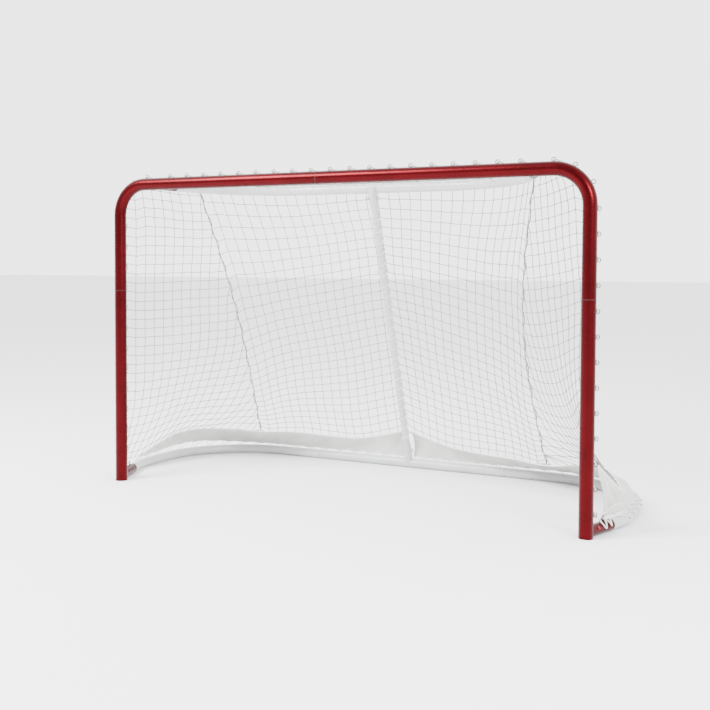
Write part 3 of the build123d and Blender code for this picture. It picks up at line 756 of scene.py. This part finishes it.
def skirt_surface(side):
    """Grid of points for one half of the skirt, with folds that fade to its tied edges."""
    top = skirt_top(side, SKIRT_COLUMNS)
    start = 0.110 if side > 0 else 0.200
    ground = base_line(side, REAR_TUBE + 0.0075, 0.006, SKIRT_COLUMNS, start)
    place = np.linspace(0, 1, SKIRT_COLUMNS)
    if side < 0:
        ground[:, 2] += 0.018 * np.exp(-((place - 0.27) / 0.15) ** 2)
    along = lengths(top)
    rows = []
    for row in range(SKIRT_ROWS + 1):
        share = row / SKIRT_ROWS
        belly = math.sin(math.pi * share)
        line = ground * (1 - share) + top * share
        tangent = np.gradient(top, axis=0)
        tangent /= np.linalg.norm(tangent, axis=1, keepdims=True)
        rise = top - ground
        rise /= np.linalg.norm(rise, axis=1, keepdims=True) + 1e-9
        outward = np.cross(tangent, rise) * side
        folds = (
            0.0045 * np.sin(along * 31 + 1.3 * np.sin(along * 7) + side)
            + 0.0030 * np.sin(along * 57 + share * 3.0)
            + 0.0022 * np.sin(along * 93 - share * 5.0 + 2.0)
        )
        gathers = np.exp(-((place - 0.08) / 0.12) ** 2)
        depth = 0.013 if side > 0 else 0.007
        folds = folds + depth * gathers * np.sin(along * 105 + share * 4.0)
        scallop = 0.004 * np.abs(np.sin(along / STITCH * math.pi)) * (1 - share) ** 3
        line = line + outward * (folds * belly + 0.010 * belly)[:, None]
        line[:, 2] += scallop
        rows.append(line)
    return np.array(rows)


def make_skirt():
    for name, side in (("left", -1), ("right", 1)):
        rows = skirt_surface(side)
        columns = rows.shape[1]
        pile = MeshPile()
        faces = []
        for row in range(SKIRT_ROWS):
            for column in range(columns - 1):
                corner = row * columns + column
                faces.append([corner, corner + 1, corner + columns + 1, corner + columns])
        pile.add(rows.reshape(-1, 3), faces)
        piece = pile.piece(f"skirt_cloth_{name}", SKIRT_CLOTH)
        thick = piece.modifiers.new("thickness", "SOLIDIFY")
        thick.thickness = 0.0012
        thick.offset = 0.0
        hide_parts(f"skirt_{name}")
        hem = MeshPile()
        hem.tube(rows[-1], 0.0030, 6)
        hem.tube(rows[0], 0.0022, 6)
        for inset in (0.35, 0.62):
            row_line = rows[-1] * (1 - inset / SKIRT_ROWS * 2) + rows[-3] * (inset / SKIRT_ROWS * 2)
            hem.tube(resample(row_line, 400)[::2], 0.0007, 4)
        hem_piece = hem.piece(f"skirt_hem_{name}", HEM_CLOTH)


# ---------------------------------------------------------------- eyelets
def ring_on_tube(pile, station, tube_radius):
    """Wire ring with a foot bar and weld beads, standing on a tube."""
    point, outward, along = station
    surface = point + outward * tube_radius
    centre = surface + outward * (2 * EYELET_WIRE + EYELET_RING)
    angles = np.linspace(0, 2 * math.pi, 18, endpoint=False)
    ring = [centre + EYELET_RING * (math.cos(a) * along + math.sin(a) * outward) for a in angles]
    pile.tube(ring, EYELET_WIRE, 8, closed=True, kind=0)
    shares = np.linspace(-0.5, 0.5, 7)
    foot = [surface + outward * EYELET_WIRE + along * EYELET_FOOT * share for share in shares]
    pile.tube(foot, EYELET_WIRE, 8, kind=1)
    for end in (-0.42, 0.42):
        middle = surface + outward * 0.0006 + along * EYELET_FOOT * end
        bead = [middle + along * step for step in (-0.004, 0, 0.004)]
        pile.tube(bead, [0.0008, 0.0024, 0.0008], 8, kind=1)


def make_eyelets():
    groups = {
        "crossbar": crossbar_stations(),
        "left_post": post_stations(-1), "right_post": post_stations(1),
        "left_corner": [corner_frame(-1, *place) for place in CORNER_EYELETS],
        "right_corner": [corner_frame(1, *place) for place in CORNER_EYELETS],
    }
    for name, stations in groups.items():
        pile = MeshPile()
        for station in stations:
            ring_on_tube(pile, station, FRONT_TUBE / 2)
        if name.endswith("_post"):
            side = -1 if name.startswith("left") else 1
            direction = unit(stub_point(side, 1.0) - stub_point(side, 0.0))
            stub_station = (stub_point(side, STUB_EYELET), np.array([0, 0, 1.0]), direction)
            ring_on_tube(pile, stub_station, REAR_TUBE / 2)
        piece = pile.piece(f"wire_eyelets_{name}", RING, RED)
        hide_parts(f"eyelets_{name}")


# ---------------------------------------------------------------- tube joints
def make_joint_shade_lines():
    """Dark hairline ring where two tube ends meet: painted shade, standing in for the shade in the
    seam between them.
    """
    joints = {
        "left_post": (at(-POST_X, 0, POST_LOW[2] + POST_JOINT), (0, 0, 1), FRONT_TUBE, "red_frame"),
        "right_post": (at(POST_X, 0, POST_LOW[2] + POST_JOINT), (0, 0, 1), FRONT_TUBE, "red_frame"),
        "crossbar": (at(CROSSBAR_JOINT, 0, CROSSBAR_Z), (1, 0, 0), FRONT_TUBE, "red_frame"),
        "left_base": (at(-BASE_JOINT, BASE_BACK, BASE_Z), (1, 0, 0), REAR_TUBE, "white_frame"),
        "right_base": (at(BASE_JOINT, BASE_BACK, BASE_Z), (1, 0, 0), REAR_TUBE, "white_frame"),
    }
    for name, (centre, along, width, finish) in joints.items():
        pile = MeshPile()
        step = np.array(along) * 0.0006
        pile.tube([centre - step, centre + step], width / 2 + 0.00025, 48)
        piece = pile.piece(f"joint_line_{name}", SEAM_SHADE)


# ---------------------------------------------------------------- lacing
def lace_piece(name, lines, node, radius=LACE):
    pile = MeshPile()
    for line in lines:
        pile.tube(line, radius, 8)
    piece = pile.piece(name, LACE_CLOTH)
    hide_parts(node)
    return piece


def through_rings(stations, edge_out):
    """Cord that goes through each ring and round the net's edge behind the tube between rings."""
    points = []
    for index, (point, outward, along) in enumerate(stations):
        back = np.array([0, 1.0, 0])
        out = unit(outward - back * (outward @ back))
        across = unit(out - back)
        ring = point + outward * (EYELET_REACH - 0.0035)
        hold = point + back * (NET_BACK + 0.003) + out * (edge_out - 0.002)
        if index:
            points.append(hold - along * 0.026 - across * 0.004)
        points.append(ring - along * 0.003 - across * 0.006)
        points.append(ring + along * 0.003 + across * 0.006)
        points.append(hold + along * 0.026 + across * 0.004)
    return smooth_curve(points, len(stations) * 26)


def wound_line(path, radius, pitch):
    """Helix round a path."""
    along = lengths(path)
    turns = along[-1] / pitch
    count = int(turns * 18)
    line = resample(path, count)
    tangent = np.gradient(line, axis=0)
    tangent /= np.linalg.norm(tangent, axis=1, keepdims=True)
    up = np.array([0, 0, 1.0])
    side = np.cross(tangent, up)
    size = np.linalg.norm(side, axis=1, keepdims=True)
    side = np.where(size > 0.2, side / np.maximum(size, 1e-6), np.array([1.0, 0, 0]))
    over = np.cross(side, tangent)
    phase = np.linspace(0, turns * 2 * math.pi, count)[:, None]
    return line + radius * (np.sin(phase) * side + np.cos(phase) * over)


def base_lacing(side):
    """Zigzag from the skirt's lower hem to the back of the base tube and up again."""
    hem = skirt_surface(side)[0]
    path = base_line(side, BASE_Z, 0.0, len(hem))
    outward = hem * 0
    tangent = np.gradient(path, axis=0)
    outward[:, 0] = tangent[:, 1] * side
    outward[:, 1] = -tangent[:, 0] * side
    outward /= np.linalg.norm(outward, axis=1, keepdims=True)
    reach = REAR_TUBE / 2 + 0.003
    points = []
    stitches = int(lengths(hem)[-1] / STITCH)
    for stitch in range(stitches):
        here = int((stitch + 0.5) / stitches * (len(hem) - 1))
        step = int(len(hem) * 0.18 / stitches)
        before = max(here - step, 0)
        after = min(here + step, len(hem) - 1)
        points.append(hem[before] - outward[before] * 0.003 + [0, 0, 0.006])
        points.append(hem[here] + outward[here] * 0.004 + [0, 0, 0.004])
        points.append(path[here] + outward[here] * reach * 0.75 + [0, 0, reach * 0.75])
        points.append(path[after] + outward[after] * reach + [0, 0, 0.004])
        points.append(path[after] + outward[after] * reach * 0.5 + [0, 0, reach * 0.95])
    return smooth_curve(points, stitches * 30)


def rope_at_stub(side):
    """Lace end tied round the eyelet on the base stub, and its run out to the skirt."""
    direction = unit(stub_point(side, 1.0) - stub_point(side, 0.0))
    front = side * np.cross(direction, [0, 0, 1.0])

    def around(distance, angle, lift=0.003):
        reach = REAR_TUBE / 2 + lift
        ring = math.cos(angle) * np.array([0, 0, 1.0]) + math.sin(angle) * front
        return stub_point(side, distance) + ring * reach

    ring = at(side * (POST_X + 0.020), 0.026, 0.073)
    tied = smooth_curve([
        ring, around(0.066, 0.3, 0.012), around(0.078, 0.9), around(0.088, 1.5), around(0.097, 0.8),
        around(0.100, 0.0, 0.013), around(0.105, -0.8), around(0.112, -0.2, 0.006),
        around(0.116, 0.8), around(0.121, 1.35), around(0.126, 0.7), around(0.134, 0.0, 0.006),
    ], 160)
    run = smooth_curve([
        ring + [0, 0, 0.003], around(0.072, 0.0, 0.024), around(0.112, 0.1, 0.030),
        around(0.150, 0.2, 0.050), around(0.175, 0.3, 0.052),
    ], 60)
    return [tied, run]


def make_lacing():
    for name, side in (("left", -1), ("right", 1)):
        lines = [through_rings(post_stations(side), NET_OUT_LOW)]
        if side > 0:
            lines += rope_at_stub(side)
        lace_piece(f"lacing_{name}_post", lines, f"lace_{name}_post")
        lace_piece(f"lacing_{name}_base", [base_lacing(side)], f"lace_{name}_base", THIN_LACE)
    lace_piece("lacing_crossbar", [through_rings(crossbar_stations(), NET_OUT_HIGH)], "lace_crossbar")
    low = pole_point(0.120)
    high = pole_point(1.085)
    pole_path = resample(np.array([low, high]), 200)
    wound = wound_line(pole_path, POLE_TUBE / 2 + 0.0050, POLE_WIND)
    lace_piece("lacing_pole", [wound], "lace_pole", THIN_LACE)


# ---------------------------------------------------------------- stage, light and camera
def make_stage():
    size = 90.0
    mesh = bpy.data.meshes.new("studio_floor")
    half = size / 2
    corners = [(-half, -half, 0), (half, -half, 0), (half, half, 0), (-half, half, 0)]
    mesh.from_pydata(corners, [], [(0, 1, 2, 3)])
    floor = bpy.data.objects.new("studio_floor", mesh)
    floor.location.z = -0.0005
    bpy.context.scene.collection.objects.link(floor)
    material, _, _, shader = new_material("pale_floor")
    shader.inputs["Base Color"].default_value = (0.9, 0.9, 0.9, 1)
    shader.inputs["Roughness"].default_value = 0.9
    mesh.materials.append(material)

    world = bpy.data.worlds.new("studio")
    bpy.context.scene.world = world
    world.use_nodes = True
    backdrop = world.node_tree.nodes["Background"]
    backdrop.inputs["Strength"].default_value = 4.2
    links = world.node_tree.links
    coordinates = world.node_tree.nodes.new("ShaderNodeTexCoord")
    split = world.node_tree.nodes.new("ShaderNodeSeparateXYZ")
    links.new(coordinates.outputs["Generated"], split.inputs["Vector"])
    spread = world.node_tree.nodes.new("ShaderNodeMapRange")
    spread.inputs["From Min"].default_value = -1.0
    spread.inputs["From Max"].default_value = 0.15
    spread.inputs["To Min"].default_value = 0.20
    spread.inputs["To Max"].default_value = 0.88
    links.new(split.outputs["Y"], spread.inputs["Value"])
    links.new(spread.outputs["Result"], backdrop.inputs["Color"])

    lights = {
        "key": ((-2.5, -3.5, 4.0), 2.0, 800),
        "fill": ((3.5, -2.5, 2.5), 1.2, 200),
    }
    for name, (place, width, power) in lights.items():
        data = bpy.data.lights.new(name, "AREA")
        data.size = width
        data.energy = power
        lamp = bpy.data.objects.new(name, data)
        lamp.location = place
        aim = Vector((0, 0, 0.6)) - Vector(place)
        lamp.rotation_euler = aim.to_track_quat("-Z", "Y").to_euler()
        bpy.context.scene.collection.objects.link(lamp)


def make_camera():
    yaw, pitch, roll = 0.4735, 0.0407, 0.0032
    ahead = math.cos(pitch)
    forward = Vector((-math.sin(yaw) * ahead, math.cos(yaw) * ahead, -math.sin(pitch)))
    level = forward.cross(Vector((0, 0, 1))).normalized()
    up = level.cross(forward)
    right = level * math.cos(roll) + up * math.sin(roll)
    up = up * math.cos(roll) - level * math.sin(roll)
    data = bpy.data.cameras.new("camera")
    data.sensor_width = 36.0
    data.lens = 51.47
    data.shift_x = 0.0445
    data.shift_y = -0.0732
    camera = bpy.data.objects.new("camera", data)
    turn = Matrix((right, up, -forward)).transposed()
    camera.matrix_world = Matrix.Translation(Vector(at(1.6632, -3.2794, 0.8908))) @ turn.to_4x4()
    bpy.context.scene.collection.objects.link(camera)
    bpy.context.scene.camera = camera


finish_cad_nodes()
make_netting()
make_skirt()
make_eyelets()
make_joint_shade_lines()
make_lacing()
make_stage()
make_camera()

bpy.context.view_layer.update()
